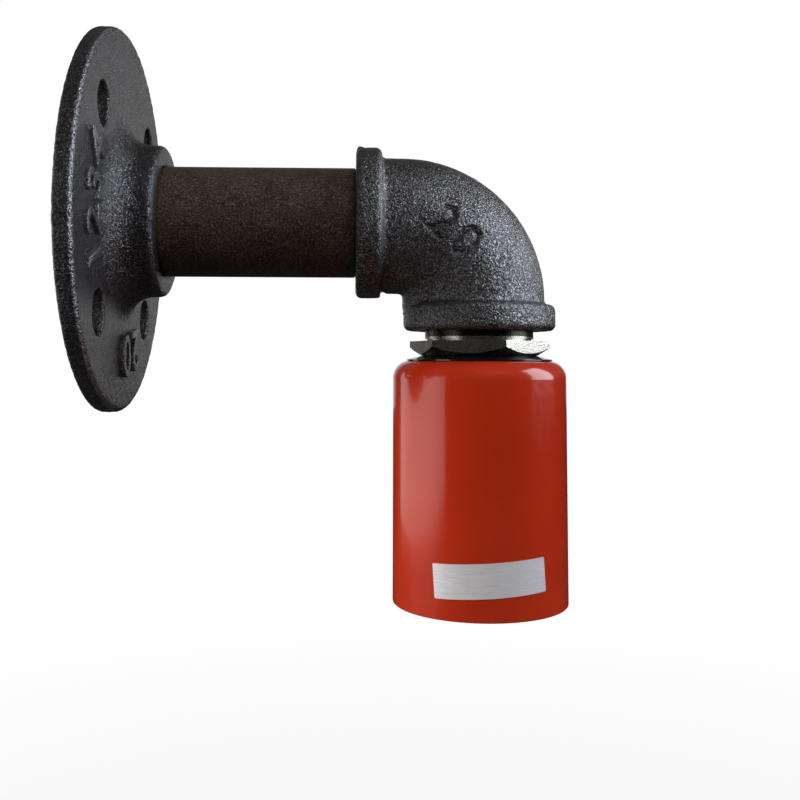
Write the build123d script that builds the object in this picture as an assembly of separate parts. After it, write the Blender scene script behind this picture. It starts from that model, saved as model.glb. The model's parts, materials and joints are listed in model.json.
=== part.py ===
from build123d import *
import os
from math import cos, radians, sin, tan

# Industrial pipe wall light, in millimetres. The origin is the centre of the flange's back
# face, where the pipe's axis meets the wall. +X runs out of the wall along the pipe, +Z is
# up, and the lamp socket hangs straight down from the elbow.

# Clearances
THREAD_GAP = 0.05  # radial, between a male thread and its female thread
HOLE_GAP = 0.15  # radial, round a tube, screw or rivet that passes through
FACE_GAP = 0.2  # between the pipe's shoulders and the faces that they stop at

# Flange
FLANGE_DIA = 92.5
FLANGE_THICK = 4.2
FLANGE_EDGE_ROUND = 1.2
FLANGE_BACK_ROUND = 0.6
HUB_DIA = 37.0
HUB_END = 14.2  # from the wall to the hub's end face
HUB_BLEND = 7.0
HUB_EDGE_ROUND = 1.4
SCREW_CIRCLE_DIA = 66.0
SCREW_HOLE_DIA = 10.0
SCREW_HOLE_COUNT = 4
SCREW_HOLE_TURN = 45.0
SCREW_HOLE_ROUND = 0.7

# Pipe
PIPE_DIA = 26.9
PIPE_WALL = 2.65
PIPE_THREAD_DIA = 26.4
PIPE_SHOWN = 46.2  # between the hub's end face and the elbow's face
PIPE_SET_BACK = 2.4  # from the wall to the pipe's inner end
PIPE_IN_ELBOW = 13.0
PIPE_END_BEVEL = 0.8
PIPE_SHOULDER_ROUND = 0.15

# Elbow
ELBOW_REACH_OUT = 30.3  # from its upper face to the lamp's axis
ELBOW_REACH_DOWN = 26.4  # from the pipe's axis to its mouth
ELBOW_BODY_DIA = 31.8
ELBOW_BEND = 19.0  # radius of the bend's centre line
ELBOW_WATERWAY_DIA = 24.0
BAND_DIA = 37.0
BAND_WIDTH = 6.3
BAND_EDGE_ROUND = 1.5
BAND_ROOT_ROUND = 1.0
BAND_ROOT_RUN = 0.1  # straight, past the rounding at a band's root
ELBOW_THREAD_DEPTH = 14.6
MOUTH_BEVEL = 0.8
THROAT_DIA = 24.0
THROAT_INSET = 0.2  # from the band's side to the filled throat

# Hexagon reducing bush
BUSH_THREAD_SHOWN = 2.5
BUSH_GROOVE_DIA = 25.4
BUSH_GROOVE_WIDTH = 0.5
BUSH_IN_ELBOW = 11.5
HEX_FLATS = 30.0
HEX_THICK = 3.5
HEX_TURN = -16.0
HEX_FOOT_DIA = 28.4
HEX_BEVEL_SLOPE = 33.0  # up from the foot's flat
FUNNEL_DIA = 18.0
FUNNEL_DEPTH = 5.0

# Threaded tube
TUBE_DIA = 10.0
TUBE_BORE = 7.4
TUBE_IN_BUSH = 9.0
TUBE_PAST_NUT = 1.0
TUBE_BEVEL = 0.5

# Domed spacer disc
SPACER_DIA = 35.4
SPACER_FLAT_DIA = 27.6
SPACER_THICK = 1.25
SPACER_RIM = 0.3
SPACER_CROWN_ROUND = 2.0

# Cup
CUP_DIA = 41.9
CUP_HEIGHT = 57.4
CUP_WALL = 0.9
CUP_SHOULDER = 4.2
CUP_RIM_ROUND = 0.3

# Foil label
LABEL_WIDTH = 26.8
LABEL_HEIGHT = 7.6
LABEL_THICK = 0.12
LABEL_GAP = 0.02
LABEL_ABOVE_RIM = 9.2
LABEL_TILT = 3.3
LABEL_CORNER_ROUND = 0.3

# Earth tag, washer and nut
TAG_THICK = 0.8
TAG_RING_DIA = 15.0
TAG_EAR_WIDTH = 7.0
TAG_EAR_REACH = 13.0  # from the lamp's axis to the ear's inner face
TAG_EAR_DROP = 7.0
WASHER_DIA = 15.6
WASHER_THICK = 1.3
WASHER_SPLIT = 1.0
NUT_FLATS = 14.0
NUT_THICK = 3.2
NUT_BEVEL = 0.7
NUT_TURN = 30.0
NUT_CORNER_SHARE = 0.6  # of the flats, just past the corners
NUT_FOOT_INSET = 0.1  # from the flats to the bevel's foot

# Bracket
BRACKET_THICK = 1.2
BRACKET_PLATE_DIA = 22.0
BRACKET_STRAP_WIDTH = 8.0
BRACKET_CLEAR = 1.55  # from each leg's outer face to the cup
BRACKET_FOOT = 9.0
BRACKET_BEND = 1.6

# Ceramic insert
INSERT_CLEAR = 0.75  # radial, inside the cup
INSERT_HEIGHT = 33.4
INSERT_RECESS = 1.2  # its mouth lies this far inside the cup's rim
INSERT_FLOOR = 7.0
INSERT_EDGE_ROUND = 0.9

# Screw shell for the lamp's cap
SHELL_BORE = 26.6
SHELL_WALL = 0.4
SHELL_CLEAR = 0.4  # radial, inside the insert's bore
SHELL_LENGTH = 20.3
SHELL_RECESS = 1.6  # from the insert's mouth to the shell's lower edge
SHELL_TAB_WIDTH = 6.0
SHELL_TAB_REACH = 6.6  # from the lamp's axis to the tab's inner end
SHELL_TAB_JOIN = 0.3  # the tab's run down into the shell's wall
SHELL_TAB_INSET = 0.1  # from the shell's outer side to the tab's flat back

# Contacts and rivets
RIVET_PLACE = 9.0  # from the lamp's axis
RIVET_DIA = 2.4
RIVET_HEAD_DIA = 4.4
RIVET_HEAD_THICK = 1.0
RIVET_ROUND_SHARE = 0.6  # of the head's height
LEAF_THICK = 0.5
LEAF_WIDTH = 5.6
LEAF_PLAY = 0.4  # above and below the leaf at its rivet
LEAF_ROOT = 2.4  # from the rivet to the leaf's outer end
LEAF_FLAT = 2.4  # from the rivet to where the leaf bends
LEAF_SLOPE = 17.0
LEAF_TIP = 2.6  # past the lamp's axis
LEAF_PIP_DIA = 3.2
LEAF_PIP_DROP = 0.6
LEAF_CORNER_SHARE = 0.3  # of the leaf's width
PIP_ROUND_SHARE = 0.9  # of the pip's drop

# Terminals
TERMINAL_WIDTH = 7.0
TERMINAL_INNER = 6.0  # from the lamp's axis to the terminal's inner face
TERMINAL_FOOT_THICK = 0.8
TERMINAL_FOOT_LONG = 7.0
TERMINAL_BLOCK_LONG = 6.0
TERMINAL_BLOCK_HEIGHT = 6.5
TERMINAL_HOLE_DIA = 2.4
TERMINAL_HOLE_UP = 2.8  # from the insert's top to the hole's axis
TERMINAL_EDGE_ROUND = 0.5

# Machine screws
SCREW_DIA = 3.0
TERMINAL_SCREW_HEAD_DIA = 4.6
TERMINAL_SCREW_HEAD_THICK = 1.5
PAN_HEAD_DIA = 5.6
PAN_HEAD_THICK = 2.0
SLOT_WIDTH = 0.8
SLOT_DEPTH = 0.8
HEAD_ROUND_SHARE = 0.35  # of a screw head's height
SCREW_POINT_SHARE = 0.12  # of a screw's diameter, bevelled off its point
BRACKET_SCREW_LENGTH = 6.0
EARTH_SCREW_PAST_TAG = 3.0
EARTH_SCREW_INSET = 0.2  # from the ear's foot to the screw's head

# Leads
LEAD_DIA = 2.0
CORE_DIA = 1.0
LEAD_FROM_AXIS = 1.5  # each lead's centre, from the tube's axis
LEAD_END = 3.2  # from the wall to the bare ends
BARE_END = 5.0
LIVE_TURN = 120.0  # each lead's place round the tube, from the earth lead's
NEUTRAL_TURN = 240.0
LEAD_LEAVES = 1.8  # below the tube's foot, where the live and neutral leads turn off
EARTH_JACKET_BELOW_EAR = 0.6
EARTH_STRAIGHT = 0.8  # of the earth lead, between its loop and the ear
LOOP_SHARE = 0.995  # of a half loop's radius, which leaves a short straight run

# Places that follow from the sizes above
pipe_radius = PIPE_DIA / 2
pipe_thread = PIPE_THREAD_DIA / 2
pipe_bore = pipe_radius - PIPE_WALL
female_thread = pipe_thread + THREAD_GAP
elbow_face = HUB_END + PIPE_SHOWN
lamp_axis = elbow_face + ELBOW_REACH_OUT
bend_start = lamp_axis - ELBOW_BEND
mouth = -ELBOW_REACH_DOWN
hex_top = mouth - BUSH_THREAD_SHOWN
hex_foot = hex_top - HEX_THICK
tube_top = hex_foot + TUBE_IN_BUSH
cup_top = hex_foot - SPACER_THICK
cup_ceiling = cup_top - CUP_WALL
cup_inner = CUP_DIA / 2 - CUP_WALL
cup_rim = cup_top - CUP_HEIGHT
plate_foot = cup_ceiling - BRACKET_THICK
bracket_half_span = cup_inner - BRACKET_CLEAR
tag_foot = plate_foot - TAG_THICK
washer_foot = tag_foot - WASHER_THICK
nut_foot = washer_foot - NUT_THICK
tube_foot = nut_foot - TUBE_PAST_NUT
insert_mouth = cup_rim + INSERT_RECESS
insert_radius = cup_inner - INSERT_CLEAR
insert_bore = SHELL_BORE / 2 + SHELL_WALL + SHELL_CLEAR
insert_top = insert_mouth + INSERT_HEIGHT
insert_floor = insert_top - INSERT_FLOOR
shell_foot = insert_mouth + SHELL_RECESS
shell_top = shell_foot + SHELL_LENGTH
tube_clear = TUBE_DIA / 2 + HOLE_GAP
screw_clear = SCREW_DIA / 2 + HOLE_GAP
screw_tapped = SCREW_DIA / 2 + THREAD_GAP
rivet_clear = RIVET_DIA / 2 + HOLE_GAP
lamp_place = Pos(lamp_axis, 0, 0)


def outline(corners):
    """Closed face from (first, second, rounding) corners."""
    points = [(first, second) for first, second, _ in corners]
    roundings = [rounding for _, _, rounding in corners]
    return make_face(FilletPolyline(*points, radius=roundings, close=True))


def turned_on_pipe(corners):
    """Solid turned about the pipe's axis from (x, radius, rounding) corners."""
    return revolve(Plane.XZ * outline(corners), Axis.X)


def turned_on_lamp(corners):
    """Solid turned about the lamp's axis from (radius, z, rounding) corners."""
    return lamp_place * revolve(Plane.XZ * outline(corners), Axis.Z)


def upright(radius, low, high, x=0.0, y=0.0):
    """Upright cylinder from low to high, placed from the lamp's axis."""
    return Pos(lamp_axis + x, y, (low + high) / 2) * Cylinder(radius, high - low)


def block(x_span, y_span, z_span):
    """Box between two values each way, with x and y counted from the lamp's axis."""
    (x0, x1), (y0, y1), (z0, z1) = x_span, y_span, z_span
    place = Pos(lamp_axis + (x0 + x1) / 2, (y0 + y1) / 2, (z0 + z1) / 2)
    return place * Box(x1 - x0, y1 - y0, z1 - z0)


def slotted_screw(length, head_dia, head_thick):
    """Screw that points down, with the underside of its head at the origin."""
    head = Cylinder(head_dia / 2, head_thick, align=(Align.CENTER, Align.CENTER, Align.MIN))
    crown = head.faces().sort_by(Axis.Z)[-1].edges()
    head = fillet(crown, head_thick * HEAD_ROUND_SHARE)
    slot = Pos(0, 0, head_thick) * Box(head_dia + 1, SLOT_WIDTH, 2 * SLOT_DEPTH)
    shank = Cylinder(SCREW_DIA / 2, length, align=(Align.CENTER, Align.CENTER, Align.MAX))
    shank = chamfer(shank.faces().sort_by(Axis.Z)[0].edges(), SCREW_DIA * SCREW_POINT_SHARE)
    return head - slot + shank


def rivet(place, head_below):
    """Rivet through the insert's floor, with a head above the terminal's foot."""
    foot_top = insert_top + TERMINAL_FOOT_THICK
    shank = upright(RIVET_DIA / 2, head_below, foot_top, x=place)
    upper = upright(RIVET_HEAD_DIA / 2, foot_top, foot_top + RIVET_HEAD_THICK, x=place)
    upper = fillet(upper.faces().sort_by(Axis.Z)[-1].edges(), RIVET_HEAD_THICK * RIVET_ROUND_SHARE)
    lower = upright(RIVET_HEAD_DIA / 2, head_below - RIVET_HEAD_THICK, head_below, x=place)
    lower = fillet(lower.faces().sort_by(Axis.Z)[0].edges(), RIVET_HEAD_THICK * RIVET_ROUND_SHARE)
    return shank + upper + lower


def hexagon(flats, low, high, turn=0.0):
    """Upright hexagon bar about the lamp's axis."""
    face = RegularPolygon(flats / 2, 6, major_radius=False, rotation=turn)
    return Pos(lamp_axis, 0, low) * extrude(face, high - low)


def tube_along(points, radii, diameter):
    """Round rod along straight runs joined by arcs."""
    path = FilletPolyline(*points, radius=radii)
    return sweep(Plane(origin=path @ 0, z_dir=path % 0) * Circle(diameter / 2), path=path)


# Flange ------------------------------------------------------------------------------------


def make_wall_flange():
    """Round cast disc with a screwed hub, a wide blend and four screw holes."""
    rim = FLANGE_DIA / 2
    hub = HUB_DIA / 2
    body = turned_on_pipe([
        (0, female_thread + MOUTH_BEVEL, 0),
        (0, rim, FLANGE_BACK_ROUND),
        (FLANGE_THICK, rim, FLANGE_EDGE_ROUND),
        (FLANGE_THICK, hub, HUB_BLEND),
        (HUB_END, hub, HUB_EDGE_ROUND),
        (HUB_END, female_thread + MOUTH_BEVEL, 0),
        (HUB_END - MOUTH_BEVEL, female_thread, 0),
        (MOUTH_BEVEL, female_thread, 0),
    ])
    for number in range(SCREW_HOLE_COUNT):
        angle = radians(SCREW_HOLE_TURN + number * 360 / SCREW_HOLE_COUNT)
        y = SCREW_CIRCLE_DIA / 2 * cos(angle)
        z = SCREW_CIRCLE_DIA / 2 * sin(angle)
        hole = Plane(origin=(0, y, z), z_dir=(1, 0, 0)) * screw_hole_cutter()
        body -= hole
    return body


def screw_hole_cutter():
    """Hole that opens out in a rounded lip at the flange's front face."""
    radius = SCREW_HOLE_DIA / 2
    lip = SCREW_HOLE_ROUND
    with BuildSketch(Plane.XZ) as section:
        with BuildLine():
            Polyline((radius, FLANGE_THICK - lip), (radius, -1), (0, -1),
                     (0, FLANGE_THICK + 1), (radius + lip, FLANGE_THICK + 1),
                     (radius + lip, FLANGE_THICK))
            RadiusArc((radius + lip, FLANGE_THICK), (radius, FLANGE_THICK - lip), -lip)
        make_face()
    return revolve(section.sketch, Axis.Z)


# Pipe --------------------------------------------------------------------------------------


def make_pipe_nipple():
    """Steel tube, reduced to its thread inside the hub and inside the elbow."""
    inner_end = PIPE_SET_BACK
    outer_end = elbow_face + PIPE_IN_ELBOW
    return turned_on_pipe([
        (inner_end, pipe_bore, 0),
        (inner_end, pipe_thread - PIPE_END_BEVEL, 0),
        (inner_end + PIPE_END_BEVEL, pipe_thread, 0),
        (HUB_END + FACE_GAP, pipe_thread, 0),
        (HUB_END + FACE_GAP, pipe_radius, PIPE_SHOULDER_ROUND),
        (elbow_face - FACE_GAP, pipe_radius, PIPE_SHOULDER_ROUND),
        (elbow_face - FACE_GAP, pipe_thread, 0),
        (outer_end - PIPE_END_BEVEL, pipe_thread, 0),
        (outer_end, pipe_thread - PIPE_END_BEVEL, 0),
        (outer_end, pipe_bore, 0),
    ])


# Elbow -------------------------------------------------------------------------------------


def bend_of(radius):
    """Quarter of a ring of round section between the elbow's two arms."""
    section = Plane(origin=(bend_start, 0, 0), z_dir=(1, 0, 0)) * Circle(radius)
    hinge = Axis((bend_start, 0, -ELBOW_BEND), (0, 1, 0))
    return revolve(section, hinge, 90)


def make_elbow():
    """Cast elbow with a band round each mouth, and a thread inside each."""
    body = ELBOW_BODY_DIA / 2
    band = BAND_DIA / 2
    root = BAND_WIDTH + BAND_ROOT_ROUND + BAND_ROOT_RUN
    band_end = elbow_face + BAND_WIDTH
    arm_end = max(bend_start, elbow_face + root)
    upper_arm = turned_on_pipe([
        (elbow_face, 0, 0),
        (elbow_face, band, BAND_EDGE_ROUND),
        (band_end, band, BAND_EDGE_ROUND),
        (band_end, body, BAND_ROOT_ROUND),
        (arm_end, body, 0),
        (arm_end, 0, 0),
    ])
    band_top = mouth + BAND_WIDTH
    arm_top = max(-ELBOW_BEND, mouth + root)
    lower_arm = turned_on_lamp([
        (0, mouth, 0),
        (band, mouth, BAND_EDGE_ROUND),
        (band, band_top, BAND_EDGE_ROUND),
        (body, band_top, BAND_ROOT_ROUND),
        (body, arm_top, 0),
        (0, arm_top, 0),
    ])
    throat_x = THROAT_INSET + THROAT_DIA / 2 - band
    throat = upright(THROAT_DIA / 2, band_top - BAND_EDGE_ROUND, 0, x=throat_x)
    return upper_arm + lower_arm + bend_of(body) + throat


def cut_elbow(solid):
    """Open the elbow from mouth to mouth."""
    waterway = ELBOW_WATERWAY_DIA / 2
    upper_depth = elbow_face + ELBOW_THREAD_DEPTH
    solid -= bend_of(waterway)
    solid -= turned_on_pipe([
        (elbow_face, 0, 0),
        (elbow_face, female_thread + MOUTH_BEVEL, 0),
        (elbow_face + MOUTH_BEVEL, female_thread, 0),
        (upper_depth, female_thread, 0),
        (upper_depth, 0, 0),
    ])
    lower_depth = mouth + ELBOW_THREAD_DEPTH
    solid -= turned_on_lamp([
        (0, mouth, 0),
        (female_thread + MOUTH_BEVEL, mouth, 0),
        (female_thread, mouth + MOUTH_BEVEL, 0),
        (female_thread, lower_depth, 0),
        (0, lower_depth, 0),
    ])
    return solid


# Bush, tube and spacer ---------------------------------------------------------------------


def make_hex_bush():
    """Hexagon with a bevelled foot, and a pipe thread that goes up into the elbow."""
    foot = HEX_FOOT_DIA / 2
    beyond = HEX_FLATS
    bevel_rise = (beyond - foot) * tan(radians(HEX_BEVEL_SLOPE))
    blank = turned_on_lamp([
        (0, hex_foot, 0),
        (foot, hex_foot, 0),
        (beyond, hex_foot + bevel_rise, 0),
        (beyond, hex_foot + bevel_rise + HEX_THICK, 0),
        (0, hex_foot + bevel_rise + HEX_THICK, 0),
    ])
    head = hexagon(HEX_FLATS, hex_foot, hex_top, HEX_TURN) & blank
    groove_top = hex_top + BUSH_GROOVE_WIDTH
    thread_top = mouth + BUSH_IN_ELBOW
    stem = turned_on_lamp([
        (0, hex_top, 0),
        (BUSH_GROOVE_DIA / 2, hex_top, 0),
        (BUSH_GROOVE_DIA / 2, groove_top, 0),
        (pipe_thread, groove_top, 0),
        (pipe_thread, thread_top - PIPE_END_BEVEL, 0),
        (pipe_thread - PIPE_END_BEVEL, thread_top, 0),
        (0, thread_top, 0),
    ])
    tapped = TUBE_DIA / 2 + THREAD_GAP
    way = turned_on_lamp([
        (0, hex_foot, 0),
        (tapped, hex_foot, 0),
        (tapped, thread_top - FUNNEL_DEPTH, 0),
        (FUNNEL_DIA / 2, thread_top, 0),
        (0, thread_top, 0),
    ])
    return head + stem - way


def make_threaded_tube():
    """Hollow tube that joins the bush to the cup and carries the leads."""
    bore = TUBE_BORE / 2
    outer = TUBE_DIA / 2
    return turned_on_lamp([
        (bore, tube_foot, 0),
        (outer - TUBE_BEVEL, tube_foot, 0),
        (outer, tube_foot + TUBE_BEVEL, 0),
        (outer, tube_top - TUBE_BEVEL, 0),
        (outer - TUBE_BEVEL, tube_top, 0),
        (bore, tube_top, 0),
    ])


def make_spacer_cap():
    """Thin disc whose upper face slopes away round a flat middle."""
    return turned_on_lamp([
        (tube_clear, cup_top, 0),
        (SPACER_DIA / 2, cup_top, 0),
        (SPACER_DIA / 2, cup_top + SPACER_RIM, 0),
        (SPACER_FLAT_DIA / 2, hex_foot, SPACER_CROWN_ROUND),
        (tube_clear, hex_foot, 0),
    ])


# Cup and label -----------------------------------------------------------------------------


def make_holder_cup():
    """Drawn metal cup, open below, with a round shoulder and a hole for the tube."""
    outer = CUP_DIA / 2
    inner = cup_inner
    return turned_on_lamp([
        (tube_clear, cup_top, 0),
        (outer, cup_top, CUP_SHOULDER),
        (outer, cup_rim, CUP_RIM_ROUND),
        (inner, cup_rim, CUP_RIM_ROUND),
        (inner, cup_ceiling, CUP_SHOULDER - CUP_WALL),
        (tube_clear, cup_ceiling, 0),
    ])


def make_rating_label():
    """Blank foil that follows the cup's side, facing -Y."""
    inner = CUP_DIA / 2 + LABEL_GAP
    skin = upright(inner + LABEL_THICK, cup_rim, cup_top) - upright(inner, cup_rim, cup_top)
    centre = cup_rim + LABEL_ABOVE_RIM
    half_angle = LABEL_WIDTH / CUP_DIA
    face = RectangleRounded(CUP_DIA * sin(half_angle), LABEL_HEIGHT, LABEL_CORNER_ROUND)
    place = Plane(origin=(lamp_axis, 0, centre), x_dir=(1, 0, 0), z_dir=(0, -1, 0))
    cutter = extrude(place * Rot(0, 0, LABEL_TILT) * face, CUP_DIA)
    return skin & cutter


# Earth tag, washer and nut -----------------------------------------------------------------


def make_earth_tag():
    """Ring round the tube with an ear that is bent down beside the nut."""
    half = TAG_EAR_WIDTH / 2
    reach = TAG_EAR_REACH + TAG_THICK
    arm = block((0, reach), (-half + ear_shift, half + ear_shift), (tag_foot, plate_foot))
    ring = upright(TAG_RING_DIA / 2, tag_foot, plate_foot)
    ear = block((TAG_EAR_REACH, reach), (-half + ear_shift, half + ear_shift),
                (plate_foot - TAG_EAR_DROP, plate_foot))
    solid = ring + arm + ear - upright(tube_clear, tag_foot, plate_foot)
    corner = solid.edges().filter_by(Axis.Y).group_by(Axis.Z)[-1].sort_by(Axis.X)[-1]
    solid = fillet(corner, TAG_THICK)
    hole = Pos(lamp_axis + TAG_EAR_REACH, ear_screw_y, ear_screw_z) * Rot(0, 90, 0)
    return solid - hole * Cylinder(screw_tapped, 4 * TAG_THICK)


def make_earth_screw():
    """Screw that clamps the earth lead against the ear's inner face."""
    screw = slotted_screw(CORE_DIA + TAG_THICK + EARTH_SCREW_PAST_TAG, PAN_HEAD_DIA, PAN_HEAD_THICK)
    head_face = lamp_axis + TAG_EAR_REACH - CORE_DIA
    return Pos(head_face, ear_screw_y, ear_screw_z) * Rot(0, -90, 0) * screw


def make_lock_washer():
    """Split spring washer."""
    ring = upright(WASHER_DIA / 2, washer_foot, tag_foot) - upright(tube_clear, washer_foot, tag_foot)
    return ring - block((-WASHER_DIA, 0), (-WASHER_SPLIT / 2, WASHER_SPLIT / 2),
                        (washer_foot, tag_foot))


def make_lock_nut():
    """Hexagon nut, bevelled above and below."""
    foot = NUT_FLATS / 2 - NUT_FOOT_INSET
    beyond = NUT_FLATS * NUT_CORNER_SHARE
    rise = NUT_BEVEL
    blank = turned_on_lamp([
        (0, nut_foot, 0),
        (foot, nut_foot, 0),
        (beyond, nut_foot + rise, 0),
        (beyond, washer_foot - rise, 0),
        (foot, washer_foot, 0),
        (0, washer_foot, 0),
    ])
    bar = hexagon(NUT_FLATS, nut_foot, washer_foot, NUT_TURN)
    return (bar & blank) - upright(TUBE_DIA / 2 + THREAD_GAP, nut_foot, washer_foot)


# Bracket -----------------------------------------------------------------------------------


def make_socket_bracket():
    """Strap under the cup's ceiling, with two legs down to the ceramic insert."""
    half_span = bracket_half_span
    half_width = BRACKET_STRAP_WIDTH / 2
    thick = BRACKET_THICK
    foot_inner = half_span - BRACKET_FOOT
    corners = [
        (-foot_inner, insert_top), (-half_span, insert_top), (-half_span, cup_ceiling),
        (half_span, cup_ceiling), (half_span, insert_top), (foot_inner, insert_top),
        (foot_inner, insert_top + thick), (half_span - thick, insert_top + thick),
        (half_span - thick, plate_foot), (-half_span + thick, plate_foot),
        (-half_span + thick, insert_top + thick), (-foot_inner, insert_top + thick),
    ]
    outside = BRACKET_BEND + thick
    shoulder = outside + (CUP_SHOULDER if outside < CUP_SHOULDER else 0)
    roundings = [0, outside, shoulder, shoulder, outside, 0,
                 0, BRACKET_BEND, shoulder - thick, shoulder - thick, BRACKET_BEND, 0]
    side = make_face(FilletPolyline(*corners, radius=roundings, close=True))
    strap = extrude(Plane.YZ * side, half_width, both=True)
    solid = Pos(lamp_axis, 0, 0) * strap
    solid += upright(BRACKET_PLATE_DIA / 2, plate_foot, cup_ceiling)
    solid -= upright(tube_clear, plate_foot, cup_ceiling)
    for side_sign in (-1, 1):
        solid -= upright(screw_clear, insert_top, insert_top + thick, y=side_sign * foot_screw)
    return solid


def make_bracket_screws():
    """Two screws through the bracket's feet into the ceramic insert."""
    screw = slotted_screw(BRACKET_SCREW_LENGTH, PAN_HEAD_DIA, PAN_HEAD_THICK)
    seat = insert_top + BRACKET_THICK
    return Compound([Pos(lamp_axis, sign * foot_screw, seat) * screw for sign in (-1, 1)])


# Ceramic insert ----------------------------------------------------------------------------


def make_socket_body():
    """Ceramic insert with a deep bore for the lamp's cap and a thick floor above it."""
    outer = insert_radius
    bore = insert_bore
    solid = turned_on_lamp([
        (0, insert_top, 0),
        (outer, insert_top, INSERT_EDGE_ROUND),
        (outer, insert_mouth, INSERT_EDGE_ROUND),
        (bore, insert_mouth, INSERT_EDGE_ROUND),
        (bore, insert_floor, 0),
        (0, insert_floor, 0),
    ])
    for sign in (-1, 1):
        solid -= upright(rivet_clear, insert_floor, insert_top, x=sign * RIVET_PLACE)
        bottom = insert_top + BRACKET_THICK - BRACKET_SCREW_LENGTH - HOLE_GAP
        solid -= upright(screw_tapped, bottom, insert_top, y=sign * foot_screw)
    return solid


# Screw shell, leaf and rivets --------------------------------------------------------------


def make_screw_shell():
    """Thin metal shell, with a tab that is bent in to its rivet."""
    inner = SHELL_BORE / 2
    outer = inner + SHELL_WALL
    half = SHELL_TAB_WIDTH / 2
    top = insert_floor - FACE_GAP / 2
    shell = upright(outer, shell_foot, shell_top)
    shell -= upright(inner, shell_foot, shell_top)
    back = SHELL_TAB_INSET - outer
    riser = block((back, back + SHELL_WALL), (-half, half), (shell_top - SHELL_TAB_JOIN, top))
    tab = block((back, -SHELL_TAB_REACH), (-half, half), (top - SHELL_WALL, top))
    return shell + riser + tab - upright(rivet_clear, shell_top, top, x=-RIVET_PLACE)


def make_centre_contact():
    """Sprung leaf: flat at its rivet, then sloping down to a pip at the lamp's axis."""
    middle = leaf_level
    half = LEAF_THICK / 2
    bend_x = RIVET_PLACE - LEAF_FLAT
    root_x = RIVET_PLACE + LEAF_ROOT
    tip = middle - (bend_x + LEAF_TIP) * tan(radians(LEAF_SLOPE))
    corners = [
        (root_x, middle + half), (bend_x, middle + half), (-LEAF_TIP, tip + half),
        (-LEAF_TIP, tip - half), (bend_x, middle - half), (root_x, middle - half),
    ]
    side = Plane.XZ.offset(-LEAF_WIDTH / 2) * make_face(Polyline(*corners, close=True))
    strip = lamp_place * extrude(side, LEAF_WIDTH)
    plan = RectangleRounded(root_x + LEAF_TIP, LEAF_WIDTH, LEAF_WIDTH * LEAF_CORNER_SHARE)
    plan_place = Pos(lamp_axis + (root_x - LEAF_TIP) / 2, 0, tip - LEAF_THICK)
    leaf = strip & extrude(plan_place * plan, middle - tip + 2 * LEAF_THICK)
    leaf -= upright(RIVET_DIA / 2 + LEAF_PLAY, middle - LEAF_THICK, insert_floor, x=RIVET_PLACE)
    at_axis = middle - bend_x * tan(radians(LEAF_SLOPE))
    pip = upright(LEAF_PIP_DIA / 2, at_axis - LEAF_PIP_DROP, at_axis)
    pip = fillet(pip.faces().sort_by(Axis.Z)[0].edges(), LEAF_PIP_DROP * PIP_ROUND_SHARE)
    return leaf + pip


def make_live_rivet():
    """Rivet that holds the leaf loosely, so that the leaf can flex."""
    return rivet(RIVET_PLACE, insert_floor - 2 * LEAF_PLAY - LEAF_THICK)


def make_neutral_rivet():
    """Rivet that clamps the shell's tab."""
    return rivet(-RIVET_PLACE, insert_floor - FACE_GAP / 2 - SHELL_WALL)


# Terminals ---------------------------------------------------------------------------------


def terminal(sign):
    """Brass block on a riveted foot. The sign is 1 for live and -1 for neutral."""
    x0, x1 = TERMINAL_INNER, TERMINAL_INNER + TERMINAL_WIDTH
    y0, y1 = -TERMINAL_FOOT_LONG / 2, TERMINAL_FOOT_LONG / 2
    foot_top = insert_top + TERMINAL_FOOT_THICK
    foot = block((x0, x1), (y0, y1 + TERMINAL_EDGE_ROUND), (insert_top, foot_top))
    body = block((x0, x1), (y1, y1 + TERMINAL_BLOCK_LONG), (insert_top, block_top))
    body = fillet(body.edges().filter_by(Axis.Z), TERMINAL_EDGE_ROUND)
    solid = foot + body - upright(rivet_clear, insert_top, foot_top, x=RIVET_PLACE)
    hole = Pos(lamp_axis + (x0 + x1) / 2, terminal_y, terminal_z) * Rot(0, 90, 0)
    solid -= hole * Cylinder(TERMINAL_HOLE_DIA / 2, 2 * TERMINAL_WIDTH)
    solid -= upright(screw_tapped, terminal_z, block_top, x=terminal_x, y=terminal_y)
    return half_turned(solid, sign)


def half_turned(solid, sign):
    """The solid itself, or turned half round about the lamp's axis if the sign is -1."""
    return solid if sign == 1 else solid.rotate(Axis((lamp_axis, 0, 0), (0, 0, 1)), 180)


def make_terminal_screws():
    """A screw down onto the core in each terminal."""
    tip = terminal_z + CORE_DIA / 2 + THREAD_GAP
    screw = slotted_screw(block_top - tip, TERMINAL_SCREW_HEAD_DIA, TERMINAL_SCREW_HEAD_THICK)
    placed = Pos(lamp_axis + terminal_x, terminal_y, block_top) * screw
    return Compound([placed, half_turned(placed, -1)])


# Leads -------------------------------------------------------------------------------------


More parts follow.
